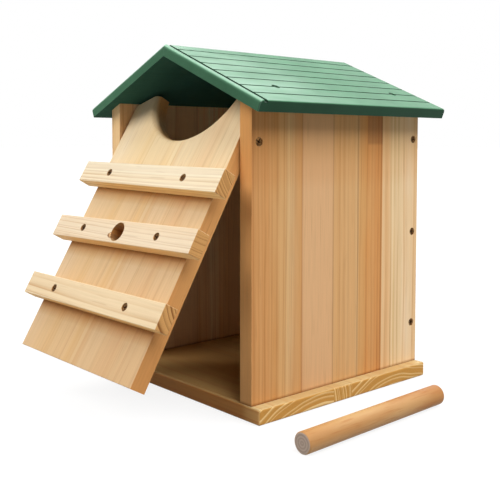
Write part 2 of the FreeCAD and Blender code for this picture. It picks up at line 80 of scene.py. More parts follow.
class Step(Enum):
    """How a ramp goes from one stop to the next."""

    HARD = "CONSTANT"
    STRAIGHT = "LINEAR"
    EASED = "EASE"


class Blend(Enum):
    """How two colours are put together."""

    MIX = "MIX"
    MULTIPLY = "MULTIPLY"


class Sum(Enum):
    """What is worked out from numbers or vectors."""

    ADD = "ADD"
    SUBTRACT = "SUBTRACT"
    MULTIPLY = "MULTIPLY"
    MULTIPLY_ADD = "MULTIPLY_ADD"
    DIVIDE = "DIVIDE"
    SIZE = "ABSOLUTE"
    FRACTION = "FRACT"
    WHOLE = "FLOOR"
    LARGER = "MAXIMUM"
    IS_LESS = "LESS_THAN"
    DOT = "DOT_PRODUCT"
    LENGTH = "LENGTH"
    DISTANCE = "DISTANCE"


def paint(red: int, green: int, blue: int) -> Colour:
    """Turn a colour as a screen shows it into the shader's linear one.

    Args:
        red: 0 to 255.
        green: 0 to 255.
        blue: 0 to 255.

    Returns:
        Linear red, green, blue and an alpha of one.
    """
    shares = [channel / 255 for channel in (red, green, blue)]
    linear = [share / 12.92 if share <= 0.04045 else ((share + 0.055) / 1.055) ** 2.4 for share in shares]
    return (linear[0], linear[1], linear[2], 1.0)


def grey(level: float) -> Colour:
    """Even tone that a colour is multiplied by."""
    return (level, level, level, 1.0)


def opposite(way: Triple) -> Triple:
    """Direction that points the other way."""
    return (-way[0], -way[1], -way[2])


WHITE = grey(1.0)


@dataclass(frozen=True)
class Cloud:
    """Cloudy pattern: clouds in a metre, finer layers and their strength, density each way, range in use."""

    scale: float
    detail: float = 2.0
    roughness: float = 0.5
    density: Triple = (1, 1, 1)
    reach: Pair = MOST_CLOUDS

    def inputs(self) -> dict[str, float]:
        """Numbers of the node that draws it."""
        return {"Scale": self.scale, "Detail": self.detail, "Roughness": self.roughness}


class Recipe:
    """Node graph of one material, with a short word for each kind of node that the finishes use."""

    def __init__(self, name: str) -> None:
        """Start an empty graph.

        Args:
            name: the material's name.
        """
        self.material = bpy.data.materials.new(name)
        self.material.use_nodes = True
        self.nodes = self.material.node_tree.nodes
        self.links = self.material.node_tree.links
        self.nodes.clear()

    def feed(self, socket: Socket, value: Input) -> None:
        """Link or set one input.

        Args:
            socket: the input.
            value: another node's output, or a constant.
        """
        if isinstance(value, Socket):
            self.links.new(value, socket)
        else:
            socket.default_value = value

    def add(
        self, kind: str, inputs: Mapping[str | int, Input] = NO_INPUTS, **settings: object
    ) -> bpy.types.Node:
        """Add one node.

        Args:
            kind: the node's type without its common first part.
            inputs: values or links by the input's name or place.
            **settings: the node's own options.

        Returns:
            The new node.
        """
        node = self.nodes.new(f"ShaderNode{kind}")
        for key, value in settings.items():
            setattr(node, key, value)
        for key, value in inputs.items():
            self.feed(node.inputs[key], value)
        return node

    def math(self, kind: Sum, first: Input, second: Input = 0.0, third: Input = 0.0) -> Socket:
        """Work out a number from up to three numbers."""
        return self.add("Math", {0: first, 1: second, 2: third}, operation=kind.value).outputs[0]

    def vector(self, kind: Sum, first: Input, second: Input = ZERO, third: Input = ZERO) -> Socket:
        """Work out a vector from up to three vectors."""
        return self.add("VectorMath", {0: first, 1: second, 2: third}, operation=kind.value).outputs[0]

    def measure(self, kind: Sum, first: Input, second: Input = ZERO) -> Socket:
        """Work out a number from one or two vectors."""
        return self.add("VectorMath", {0: first, 1: second}, operation=kind.value).outputs["Value"]

    def dot(self, first: Input, second: Input) -> Socket:
        """Length of one vector along another."""
        return self.measure(Sum.DOT, first, second)

    def scaled(self, vector: Input, factors: Triple) -> Socket:
        """Vector with each of its parts multiplied."""
        return self.vector(Sum.MULTIPLY, vector, factors)

    def mix(self, share: Input, first: Input, second: Input, blend: Blend = Blend.MIX) -> Socket:
        """Put a share of the second colour on the first one."""
        inputs = {0: share, 6: first, 7: second}
        return self.add("Mix", inputs, data_type="RGBA", blend_type=blend.value).outputs[2]

    def tint(self, colour: Input, tone: Input, share: Input = 1.0) -> Socket:
        """Multiply a colour by a tone, wholly or in part."""
        return self.mix(share, colour, tone, Blend.MULTIPLY)

    def remap(
        self, value: Input, low: float, high: float, to_low: float = 0.0, to_high: float = 1.0,
        eased: bool = False,
    ) -> Socket:
        """Stretch a range of numbers to another one, and hold it at the ends.

        Args:
            value: number.
            low: start of its range.
            high: end of its range.
            to_low: start of the new range.
            to_high: end of the new range.
            eased: whether the ends are soft.

        Returns:
            The new number's socket.
        """
        inputs = {0: value, 1: low, 2: high, 3: to_low, 4: to_high}
        kind = "SMOOTHSTEP" if eased else "LINEAR"
        return self.add("MapRange", inputs, interpolation_type=kind, clamp=True).outputs[0]

    def ramp(self, share: Input, stops: Stops, step: Step = Step.STRAIGHT) -> Socket:
        """Colour that depends on a number from zero to one.

        Args:
            share: the number.
            stops: places and their colours, in order.
            step: way from one stop to the next.

        Returns:
            The colour's socket.
        """
        node = self.add("ValToRGB", {0: share})
        band = node.color_ramp
        band.interpolation = step.value
        while len(band.elements) < len(stops):
            band.elements.new(1.0)
        for element, (place, colour) in zip(band.elements, stops):
            element.position = place
            element.color = colour
        return node.outputs[0]

    def noise(self, spot: Input, cloud: Cloud) -> Socket:
        """Cloudy pattern over the places on a piece, from zero to one and mostly near a half."""
        return self.add("TexNoise", {"Vector": self.scaled(spot, cloud.density), **cloud.inputs()}).outputs[0]

    def clouds(self, spot: Input, cloud: Cloud, least: float = 0.0, most: float = 1.0) -> Socket:
        """Cloudy pattern whose range in use is stretched from the least to the most."""
        return self.remap(self.noise(spot, cloud), *cloud.reach, least, most)

    def change(self, number: Input, cloud: Cloud) -> Socket:
        """Cloudy pattern along a number, from zero to one and mostly near a half."""
        return self.add("TexNoise", {"W": number, **cloud.inputs()}, noise_dimensions="1D").outputs[0]

    def place(self) -> Socket:
        """Place on the piece, in the part's frame at rest."""
        return self.add("TexCoord").outputs["Object"]

    def facing(self, way: Triple) -> Socket:
        """How squarely the surface faces a way in the part's frame at rest, from minus one to one."""
        return self.dot(self.add("TexCoord").outputs["Normal"], way)

    def face(self, way: Triple) -> Socket:
        """One on the flat face that looks a way, and zero past its edges."""
        return self.remap(self.facing(way), *SQUARE_ON)

    def bump(self, height: Input, distance: float, below: Input | None = None) -> Socket:
        """Fine relief.

        Args:
            height: pattern from zero to one.
            distance: height of the relief in metres.
            below: relief that this one lies on.

        Returns:
            The normal's socket.
        """
        node = self.add("Bump", {"Height": height, "Distance": distance, "Strength": 1.0})
        if below is not None:
            self.feed(node.inputs["Normal"], below)
        return node.outputs[0]

    def finish(
        self, colour: Input, roughness: Input, normal: Input, **constants: float
    ) -> bpy.types.Material:
        """Close the graph with its surface.

        Args:
            colour: base colour.
            roughness: roughness.
            normal: relief.
            **constants: other numbers of the surface, by their names.

        Returns:
            The finished material.
        """
        inputs = {"Base Color": colour, "Roughness": roughness, "Normal": normal, **constants}
        surface = self.add("BsdfPrincipled", inputs)
        self.add("OutputMaterial", {"Surface": surface.outputs[0]})
        return self.material


@dataclass(frozen=True)
class Board:
    """Way that a board lies: across its face, out of its face, and along its grain."""

    origin: Triple
    across: Triple
    outward: Triple
    along: Triple

    def coordinates(self, recipe: Recipe) -> Socket:
        """Place on the board as across, outward and along the grain.

        Args:
            recipe: graph to add to.

        Returns:
            The vector's socket.
        """
        shifted = recipe.vector(Sum.SUBTRACT, recipe.place(), self.origin)
        parts = {n: recipe.dot(shifted, way) for n, way in enumerate((self.across, self.outward, self.along))}
        return recipe.add("CombineXYZ", parts).outputs[0]


@dataclass(frozen=True)
class Stave:
    """Strip of an edge-glued board: its start, tint, log's heart and ring width, and a length beyond a joint.

    A strip that isn't glued on is only a different part of the one before it.
    """

    start: float
    tone: Colour
    pith: Pair
    ring: float = 3.0 * MM
    joint: float = 1.0
    beyond: Colour | None = None
    glued: bool = True


@dataclass(frozen=True)
class Streak:
    """Line along the grain: its place across the board, how far it fades to each side, and its tint."""

    place: float
    fade: float
    tone: Colour


@dataclass(frozen=True)
class Rings:
    """Year rings at a place in the wood: share of dark late wood, and a slow change over the years."""

    late: Socket
    band: Socket


@dataclass(frozen=True)
class Pine:
    """Bare planed pine, glued up from staves whose year rings run through the whole board.

    A torn spot and a bored hole are places across and along the board. A ledge, below which a shadow is painted
    on the face, is a height along the board and a rise across it.
    """

    name: str
    board: Board
    span: Pair
    staves: tuple[Stave, ...]
    lines: tuple[Streak, ...] = ()
    bands: tuple[Streak, ...] = ()
    shades: Stops = ()
    spring: Colour = paint(240, 208, 160)
    warm: Colour = paint(228, 174, 116)
    summer: Colour = paint(190, 128, 68)
    end_spring: Colour = paint(236, 200, 146)
    end_summer: Colour = paint(178, 120, 60)
    contrast: float = 0.55
    wander: float = 5 * MM
    seam: Colour = (0.52, 0.4, 0.28, 1)
    high_edge: Colour = WHITE
    low_edge: Colour = WHITE
    # Painted light on the inner face, and more of it high up.
    inner_light: Colour = WHITE
    inner_top_light: Colour = WHITE
    torn: Pair | None = None
    bored: Pair | None = None
    shadow_ledges: tuple[Pair, ...] = ()

    PITH_REACH = 0.5
    WIDEST_RING = 20 * MM
    SWAY = Cloud(17, 2, 0.4, (1, 1, 0.16))
    UNEVEN = Cloud(0.41, 1)
    UNEVEN_YEARS = 2.6
    YEAR = (
        (0.0, grey(0.2)),
        (0.1, grey(0.0)),
        (0.5, grey(0.14)),
        (0.8, grey(0.7)),
        (0.95, WHITE),
        (1.0, grey(0.3)),
    )
    FAINTEST_YEAR = 0.3
    BAND = Cloud(0.17, 2, 0.6, reach=(0.35, 0.68))
    PATCHES = Cloud(24, density=(1, 1, 0.2))
    PATCH_RANGE = (0.4, 1.3)
    DRIFT = Cloud(9, 1, density=(0.3, 0.3, 1))
    DRIFT_REACH = 3 * MM
    COMING = Cloud(26, density=(1, 1, 0.35), reach=(0.36, 0.6))
    FAINTEST_STREAK = 0.25
    JOINT_FADE = 1.5 * MM
    SEAM_WIDTH = 0.75 * MM
    INNER_SEAM = 0.35
    FIBRE = Cloud(700, 3, 0.6, (1, 1, 0.025))
    FIBRE_TONES = ((0.25, grey(0.91)), (0.55, WHITE), (0.8, grey(1.04)))
    DASHES = Cloud(420, 1, density=(1, 1, 0.05), reach=(0.66, 0.74))
    RESIN = paint(150, 98, 52)
    RESIN_SHARE = 0.2
    END_RINGS = (0.05, 0.6)
    PORES = Cloud(1600)
    PORE_TONES = ((0.3, grey(0.9)), (0.7, grey(1.06)))
    INNER_RISE = (0.18, 0.25)
    INNER_START = (-0.095, -0.075)
    BORE_REACH = (9.4 * MM, 9.2 * MM)
    BORE_TONE = (0.69, 0.57, 0.45, 1)
    GOUGE = paint(146, 102, 60)
    GOUGE_REACH = (1.4 * MM, 0.6 * MM)
    GOUGE_SLIMNESS = 0.6
    RAGGED = Cloud(900, density=(1, 1, 0.3))
    RAGGED_REACH = 3 * MM
    # Painted shadow below a ledge: how far it reaches, and its tones from the ledge down.
    SHADOW_REACH = (-1 * MM, 14 * MM)
    PAINTED_SHADOW = (
        (0.0, WHITE),
        (0.05, (0.66, 0.43, 0.22, 1)),
        (0.16, (0.64, 0.42, 0.22, 1)),
        (0.3, (0.7, 0.52, 0.34, 1)),
        (0.5, (0.8, 0.67, 0.52, 1)),
        (0.75, (0.92, 0.86, 0.78, 1)),
        (1.0, WHITE),
    )
    GLOSS_GRAIN = (0.3, 1.6)
    ROUGHNESS = (0.66, 0.5)
    FIBRE_RELIEF = 0.06 * MM
    RING_RELIEF = 0.05 * MM
    IOR = 1.3

    def by_stave(self, recipe: Recipe, share: Input, values: Sequence[Colour]) -> Socket:
        """Pick each stave's own value.

        Args:
            recipe: graph to add to.
            share: place across the board, from zero to one.
            values: one value for each stave.

        Returns:
            The value's socket.
        """
        low, high = self.span
        stops = [((stave.start - low) / (high - low), value) for stave, value in zip(self.staves, values)]
        return recipe.ramp(share, stops, Step.HARD)

    def streaks(self, recipe: Recipe, share: Input, streaks: Sequence[Streak]) -> Socket:
        """Tint of lines along the grain.

        Args:
            recipe: graph to add to.
            share: place across the board, from zero to one.
            streaks: the lines, in order and clear of each other.

        Returns:
            Tone to multiply the colour by.
        """
        low, high = self.span
        stops = [(0.0, WHITE)]
        for streak in streaks:
            middle = (streak.place - low) / (high - low)
            fade = streak.fade / (high - low)
            stops += [(middle - fade, WHITE), (middle, streak.tone), (middle + fade, WHITE)]
        return recipe.ramp(share, stops)

    def rings(self, recipe: Recipe, spot: Input, share: Input) -> Rings:
        """Year rings about each stave's own heart.

        Args:
            recipe: graph to add to.
            spot: place on the board.
            share: place across the board, from zero to one.

        Returns:
            The rings at that place.
        """
        reach, widest = self.PITH_REACH, self.WIDEST_RING
        hearts = [[place / reach + 0.5 for place in stave.pith] for stave in self.staves]
        codes = [(*heart, stave.ring / widest, 1.0) for heart, stave in zip(hearts, self.staves)]
        code = self.by_stave(recipe, share, codes)
        pith = recipe.vector(Sum.MULTIPLY_ADD, code, (reach, reach, 0), (-reach / 2, -reach / 2, 0))
        from_pith = recipe.vector(Sum.SUBTRACT, recipe.scaled(spot, (1, 1, 0)), pith)
        radius = recipe.measure(Sum.LENGTH, from_pith)
        radius = recipe.math(Sum.MULTIPLY_ADD, recipe.noise(spot, self.SWAY), 2 * self.wander, radius)
        width = recipe.math(Sum.MULTIPLY, recipe.add("SeparateXYZ", {0: code}).outputs[2], widest)
        years = recipe.math(Sum.DIVIDE, radius, width)
        years = recipe.math(Sum.MULTIPLY_ADD, recipe.change(years, self.UNEVEN), self.UNEVEN_YEARS, years)
        late = recipe.ramp(recipe.math(Sum.FRACTION, years), self.YEAR)
        year = recipe.math(Sum.WHOLE, years)
        luck = recipe.add("TexWhiteNoise", {"W": year}, noise_dimensions="1D").outputs["Value"]
        late = recipe.math(Sum.MULTIPLY, late, recipe.remap(luck, 0.0, 1.0, self.FAINTEST_YEAR, 1.0))
        return Rings(late, recipe.remap(recipe.change(years, self.BAND), *self.BAND.reach))

    def tints(self, recipe: Recipe, spot: Input, along: Input, share: Input, colour: Input) -> Socket:
        """Lay each stave's tint, its lines and bands, the seams and the change along the board over the wood.

        Args:
            recipe: graph to add to.
            spot: place on the board.
            along: place along the grain.
            share: place across the board, from zero to one.
            colour: the wood's colour.

        Returns:
            The tinted colour.
        """
        tone = self.by_stave(recipe, share, [stave.tone for stave in self.staves])
        if any(stave.beyond for stave in self.staves):
            other = self.by_stave(recipe, share, [stave.beyond or stave.tone for stave in self.staves])
            joints = self.by_stave(recipe, share, [grey(stave.joint) for stave in self.staves])
            past = recipe.math(Sum.SUBTRACT, along, joints)
            tone = recipe.mix(recipe.remap(past, -self.JOINT_FADE, self.JOINT_FADE), tone, other)
        colour = recipe.tint(colour, tone)
        drift = self.DRIFT_REACH / (self.span[1] - self.span[0])
        wavy = recipe.math(Sum.MULTIPLY_ADD, recipe.noise(spot, self.DRIFT), drift, share)
        strength = recipe.clouds(spot, self.COMING, self.FAINTEST_STREAK)
        for streaks in (self.bands, self.lines):
            if streaks:
                colour = recipe.tint(colour, self.streaks(recipe, wavy, streaks), strength)
        if len(self.staves) > 1:
            starts = [stave.start for stave in self.staves[1:] if stave.glued]
            seams = [Streak(start, self.SEAM_WIDTH, self.seam) for start in starts]
            inward = recipe.facing(opposite(self.board.outward))
            strength = recipe.remap(inward, *SQUARE_ON, 1.0, self.INNER_SEAM)
            colour = recipe.tint(colour, self.streaks(recipe, share, seams), strength)
        if self.shades:
            low, high = self.shades[0][0], self.shades[-1][0]
            stops = [((place - low) / (high - low), shade) for place, shade in self.shades]
            colour = recipe.tint(colour, recipe.ramp(recipe.remap(along, low, high), stops, Step.EASED))
        return colour

    def faces(self, recipe: Recipe, across: Input, along: Input, colour: Input) -> Socket:
        """Paint a shadow on the face below each ledge, tint the edges, and paint light on the inner face.

        Args:
            recipe: graph to add to.
            across: place across the board.
            along: place along the grain.
            colour: the wood's colour.

        Returns:
            The tinted colour.
        """
        # Painted shadow on the front face below each batten's lower edge.
        for height, rise in self.shadow_ledges:
            edge = recipe.math(Sum.MULTIPLY_ADD, across, rise, height)
            below = recipe.remap(recipe.math(Sum.SUBTRACT, edge, along), *self.SHADOW_REACH)
            shade = recipe.ramp(below, self.PAINTED_SHADOW)
            colour = recipe.tint(colour, shade, recipe.face(self.board.outward))
        # Painted light on the inner face, stronger high up.
        top = recipe.remap(along, *self.INNER_RISE)
        top = recipe.math(Sum.MULTIPLY, top, recipe.remap(across, *self.INNER_START))
        tones = (
            (self.board.across, self.high_edge),
            (opposite(self.board.across), self.low_edge),
            (opposite(self.board.outward), recipe.mix(top, self.inner_light, self.inner_top_light)),
        )
        for way, tone in tones:
            colour = recipe.tint(colour, tone, recipe.face(way))
        return colour

    def holes(self, recipe: Recipe, spot: Input, colour: Input) -> Socket:
        """Darken the bored hole and the torn wood at its rim.

        Args:
            recipe: graph to add to.
            spot: place on the board.
            colour: the wood's colour.

        Returns:
            The tinted colour.
        """
        if self.bored:
            middle = (self.bored[0], 0, self.bored[1])
            off = recipe.measure(Sum.DISTANCE, recipe.scaled(spot, (1, 0, 1)), middle)
            colour = recipe.tint(colour, self.BORE_TONE, recipe.remap(off, *self.BORE_REACH))
        if self.torn:
            slim = self.GOUGE_SLIMNESS
            middle = (self.torn[0], 0, slim * self.torn[1])
            off = recipe.measure(Sum.DISTANCE, recipe.scaled(spot, (1, 0, slim)), middle)
            off = recipe.math(Sum.MULTIPLY_ADD, recipe.noise(spot, self.RAGGED), -self.RAGGED_REACH, off)
            colour = recipe.mix(recipe.remap(off, *self.GOUGE_REACH), colour, self.GOUGE)
        return colour

    def material(self) -> bpy.types.Material:
        """Build the finish.

        Returns:
            The material.
        """
        recipe = Recipe(self.name)
        spot = self.board.coordinates(recipe)
        across, _, along = recipe.add("SeparateXYZ", {0: spot}).outputs
        share = recipe.remap(across, *self.span)
        rings = self.rings(recipe, spot, share)
        faint, strong = (self.contrast * factor for factor in self.PATCH_RANGE)
        strength = recipe.clouds(spot, self.PATCHES, faint, strong)
        colour = recipe.mix(rings.band, self.spring, self.warm)
        colour = recipe.mix(recipe.math(Sum.MULTIPLY, rings.late, strength), colour, self.summer)
        colour = self.tints(recipe, spot, along, share, colour)
        fibre = recipe.noise(spot, self.FIBRE)
        colour = recipe.tint(colour, recipe.ramp(fibre, self.FIBRE_TONES))
        colour = recipe.mix(recipe.clouds(spot, self.DASHES, most=self.RESIN_SHARE), colour, self.RESIN)
        colour = self.faces(recipe, across, along, colour)
        sawn = recipe.mix(recipe.remap(rings.late, *self.END_RINGS), self.end_spring, self.end_summer)
        sawn = recipe.tint(sawn, recipe.ramp(recipe.noise(spot, self.PORES), self.PORE_TONES))
        end = recipe.math(Sum.SIZE, recipe.facing(self.board.along))
        colour = recipe.mix(recipe.remap(end, *SQUARE_ON), colour, sawn)
        colour = self.holes(recipe, spot, colour)
        grain = recipe.math(Sum.ADD, rings.late, fibre)
        roughness = recipe.remap(grain, *self.GLOSS_GRAIN, *self.ROUGHNESS)
        relief = recipe.bump(fibre, self.FIBRE_RELIEF, recipe.bump(rings.late, self.RING_RELIEF))
        return recipe.finish(colour, roughness, relief, IOR=self.IOR)


@dataclass(frozen=True)
class RoofPaint:
    """Green satin paint along the strips, with painted shade on ends, eaves and grooves and painted light below.
    """

    name: str
    ridge_top: float
    green: Colour = paint(84, 135, 102)
    deep: Colour = paint(73, 122, 91)
    # Chipped corners and the painted highlight on the rim share the first colour; the second is a painted sheen.
    chip_and_highlight: Colour = paint(150, 190, 164)
    front_sheen: Colour = paint(168, 200, 180)
    # Painted shade on the ends (less on the left slope), eaves and grooves; painted light lifts the undersides.
    left_end_shade: Colour = (0.64, 0.68, 0.66, 1)
    right_end_shade: Colour = (0.48, 0.52, 0.5, 1)
    eave_shade: Colour = (0.21, 0.275, 0.26, 1)
    under_light: Colour = (1.75, 1.6, 2.25, 1)
    groove_shade: Colour = grey(0.3)
    slope: float = 22.8
    rim_groove: float = -0.1193

    GROOVE_REACH = 2.1 * MM
    GROOVE_DEPTH = 2.4 * MM
    GROOVE_LIP = (0.2 * MM, 0.6 * MM)
    BRUSH = Cloud(520, 3, 0.6, (1, 0.04, 1))
    STROKES = ((0.25, grey(0.9)), (0.75, grey(1.08)))
    MOTTLE = Cloud(26, 3, reach=(0.35, 0.7))
    SHEEN_REACH = (-0.02, 0.11)
    SHEEN_SHARE = 0.6
    BLOTCHES = Cloud(34, density=(1, 0.4, 1), reach=(0.35, 0.65))
    FAINTEST_BLOTCH = 0.4
    CORNER = 0.9 * MM
    SHARPNESS = (0.97, 0.8)
    CHIPS = Cloud(240, 4, 0.65, reach=(0.42, 0.62))
    CHIPPED_SHARE = 0.5
    RIM_RISE = (0.15, 0.4)
    RIM_FALL = (0.85, 0.6)
    RIM_HIGHLIGHT_SHARE = 0.8
    END_ON = (0.75, 0.95)
    OFF_END = (0.9, 0.8)
    OFF_LEVEL = (0.3, 0.2)
    EAVE = (0.1, 0.35)
    UNDERSIDE = (0.5, 0.8)
    END_REACH = 0.1
    ROUGHNESS = (0.45, 0.57)
    UNDER_ROUGHNESS = 0.9
    GRIT = Cloud(900)
    BRUSH_RELIEF = 0.04 * MM
    GRIT_RELIEF = 0.02 * MM
    IOR = 1.2

    def in_rim_groove(self, recipe: Recipe, spot: Input) -> Socket:
        """Find the groove beside the front rim, where shade is painted dark.

        Args:
            recipe: graph to add to.
            spot: place on the roof.

        Returns:
            One in the groove and zero elsewhere.
        """
        tilt = math.radians(self.slope)
        height = recipe.dot(recipe.vector(Sum.SIZE, spot), (math.sin(tilt), 0, math.cos(tilt)))
        depth = recipe.math(Sum.SUBTRACT, self.ridge_top * math.cos(tilt), height)
        off = recipe.math(Sum.SUBTRACT, recipe.dot(spot, (0, 1, 0)), self.rim_groove)
        inside = recipe.math(Sum.IS_LESS, recipe.math(Sum.SIZE, off), self.GROOVE_REACH)
        cut = recipe.math(Sum.IS_LESS, depth, self.GROOVE_DEPTH)
        below = recipe.math(Sum.MULTIPLY, recipe.remap(depth, *self.GROOVE_LIP), cut)
        return recipe.math(Sum.MULTIPLY, inside, below)

    def wear_and_sheen(self, recipe: Recipe, spot: Input, front: Input, colour: Input) -> Socket:
        """Paint a sheen on the top towards the front, wear the corners, and paint a highlight on the rim.

        Args:
            recipe: graph to add to.
            spot: place on the roof.
            front: how squarely the surface faces the front.
            colour: the paint's colour.

        Returns:
            The worn colour.
        """
        # Painted sheen on the top faces towards the front, in blotches.
        fore = recipe.remap(recipe.dot(spot, (0, -1, 0)), *self.SHEEN_REACH, 0.0, self.SHEEN_SHARE, True)
        fore = recipe.math(Sum.MULTIPLY, fore, recipe.face((0, 0, 1)))
        blotch = recipe.clouds(spot, self.BLOTCHES, self.FAINTEST_BLOTCH)
        colour = recipe.mix(recipe.math(Sum.MULTIPLY, fore, blotch), colour, self.front_sheen)
        rounded = recipe.add("Bevel", {"Radius": self.CORNER}, samples=4).outputs[0]
        corner = recipe.dot(rounded, recipe.add("NewGeometry").outputs["True Normal"])
        chipped = recipe.clouds(spot, self.CHIPS, most=self.CHIPPED_SHARE)
        chipped = recipe.math(Sum.MULTIPLY, recipe.remap(corner, *self.SHARPNESS), chipped)
        colour = recipe.mix(chipped, colour, self.chip_and_highlight)
        # Painted highlight along the rounded front rim.
        rise, fall = recipe.remap(front, *self.RIM_RISE), recipe.remap(front, *self.RIM_FALL)
        rim = recipe.math(Sum.MULTIPLY, rise, fall)
        return recipe.mix(recipe.math(Sum.MULTIPLY, rim, self.RIM_HIGHLIGHT_SHARE), colour, self.chip_and_highlight)

    def material(self) -> bpy.types.Material:
        """Build the finish.

        Returns:
            The material.
        """
        recipe = Recipe(self.name)
        spot = recipe.place()
        front, down = recipe.facing((0, -1, 0)), recipe.facing((0, 0, -1))
        level, sideways = recipe.math(Sum.SIZE, down), recipe.math(Sum.SIZE, front)
        brush = recipe.noise(spot, self.BRUSH)
        colour = recipe.mix(recipe.clouds(spot, self.MOTTLE), self.deep, self.green)
        colour = recipe.tint(colour, recipe.ramp(brush, self.STROKES))
        colour = self.wear_and_sheen(recipe, spot, front, colour)
        rightward = recipe.remap(recipe.dot(spot, (1, 0, 0)), -self.END_REACH, self.END_REACH)
        end_shade = recipe.mix(rightward, self.left_end_shade, self.right_end_shade)
        # Upright walls that face the sides, such as the screw recesses', get painted shade.
        upright = recipe.remap(level, *self.OFF_LEVEL)
        upright = recipe.math(Sum.MULTIPLY, upright, recipe.remap(sideways, *self.OFF_END))
        places = (
            (recipe.remap(sideways, *self.END_ON), end_shade),
            (self.in_rim_groove(recipe, spot), self.groove_shade),
            (upright, self.groove_shade),
            (recipe.remap(down, *self.EAVE), self.eave_shade),
            (recipe.remap(down, *self.UNDERSIDE), self.under_light),
        )
        for share, tone in places:
            colour = recipe.tint(colour, tone, share)
        roughness = recipe.remap(brush, *MOST_CLOUDS, *self.ROUGHNESS)
        under = recipe.remap(down, *self.UNDERSIDE, 0.0, self.UNDER_ROUGHNESS)
        roughness = recipe.math(Sum.LARGER, roughness, under)
        grit = recipe.bump(recipe.noise(spot, self.GRIT), self.GRIT_RELIEF)
        return recipe.finish(colour, roughness, recipe.bump(brush, self.BRUSH_RELIEF, grit), IOR=self.IOR)


@dataclass(frozen=True)
class ScrewFinish:
    """Screw metal, plated or painted over."""

    name: str
    bright: Colour
    dull: Colour
    metal: float
    roughness: float

    STAIN = Cloud(620, 4, 0.6, reach=(0.38, 0.66))
    ROUGHER = (-0.08, 0.14)
    GRIT = Cloud(2600)
    GRIT_RELIEF = 0.02 * MM

    def material(self) -> bpy.types.Material:
        """Build the finish.

        Returns:
            The material.
        """
        recipe = Recipe(self.name)
        spot = recipe.place()
        stain = recipe.noise(spot, self.STAIN)
        colour = recipe.mix(recipe.remap(stain, *self.STAIN.reach), self.bright, self.dull)
        smooth, rough = (self.roughness + change for change in self.ROUGHER)
        roughness = recipe.remap(stain, *MOST_CLOUDS, smooth, rough)
        relief = recipe.bump(recipe.noise(spot, self.GRIT), self.GRIT_RELIEF)
        return recipe.finish(colour, roughness, relief, Metallic=self.metal)


@dataclass(frozen=True)
class DowelWood:
    """Turned hardwood with short flecks along it, and grey-beige sawn ends."""

    name: str
    board: Board
    pale: Colour = paint(197, 158, 107)
    warm: Colour = paint(172, 112, 53)
    fleck: Colour = paint(168, 108, 58)
    sawn: Colour = paint(168, 149, 134)
    sawn_ring: Colour = paint(140, 122, 108)

    MOTTLE = Cloud(55, 3, density=(1, 1, 0.18), reach=(0.4, 0.65))
    MOTTLE_SHARE = 0.6
    FAR = (-0.05, 0.09)
    FAR_SHARE = 0.55
    FLECKS = Cloud(520, density=(1, 1, 0.07), reach=(0.56, 0.7))
    FLECK_SHARE = 0.45
    RING = 2.6 * MM
    RING_WAVES = math.tau / 20
    RING_SHARE = 0.85
    SPECKS = Cloud(1500, reach=(0.55, 0.75))
    SPECK_SHARE = 0.4
    END_ON = (0.75, 0.97)
    ROUGHNESS = (0.48, 0.6)
    RELIEF = 0.05 * MM
    IOR = 1.35

    def material(self) -> bpy.types.Material:
        """Build the finish.

        Returns:
            The material.
        """
        recipe = Recipe(self.name)
        spot = self.board.coordinates(recipe)
        along = recipe.add("SeparateXYZ", {0: spot}).outputs[2]
        warmth = recipe.clouds(spot, self.MOTTLE, most=self.MOTTLE_SHARE)
        warmth = recipe.math(Sum.ADD, warmth, recipe.remap(along, *self.FAR, 0.0, self.FAR_SHARE, True))
        colour = recipe.mix(warmth, self.pale, self.warm)
        flecks = recipe.noise(spot, self.FLECKS)
        share = recipe.remap(flecks, *self.FLECKS.reach, 0.0, self.FLECK_SHARE)
        colour = recipe.mix(share, colour, self.fleck)
        rings = recipe.add(
            "TexWave",
            {"Vector": spot, "Scale": self.RING_WAVES / self.RING, "Distortion": 1.5, "Detail": 2.0},
            wave_type="RINGS", rings_direction="Z", wave_profile="SIN",
        ).outputs["Fac"]
        sawn = recipe.mix(recipe.math(Sum.MULTIPLY, rings, self.RING_SHARE), self.sawn, self.sawn_ring)
        sawn = recipe.mix(recipe.clouds(spot, self.SPECKS, most=self.SPECK_SHARE), sawn, self.sawn_ring)
        end = recipe.math(Sum.SIZE, recipe.facing(self.board.along))
        colour = recipe.mix(recipe.remap(end, *self.END_ON), colour, sawn)
        roughness = recipe.remap(flecks, *MOST_CLOUDS, *self.ROUGHNESS)
        return recipe.finish(colour, roughness, recipe.bump(flecks, self.RELIEF), IOR=self.IOR)


def dress(node: str, material: bpy.types.Material) -> None:
    """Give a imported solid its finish.

    Args:
        node: the solid's node.
        material: the finish.
    """
    slots = frame["nodes"][node].data.materials
    slots.clear()
    slots.append(material)
    LOG.info("%s: %s", node, material.name)


@dataclass(frozen=True)
class Panel:
    """Upright panel: ways over its width and out of the box, its wood, its edges' tint, and light painted on its
    inside.
    """

    node: str
    across: Triple
    outward: Triple
    staves: tuple[Stave, ...]
    lines: tuple[Streak, ...]
    bands: tuple[Streak, ...]
    edge: Colour
    inside: Colour = WHITE
    inside_top_light: Colour = WHITE


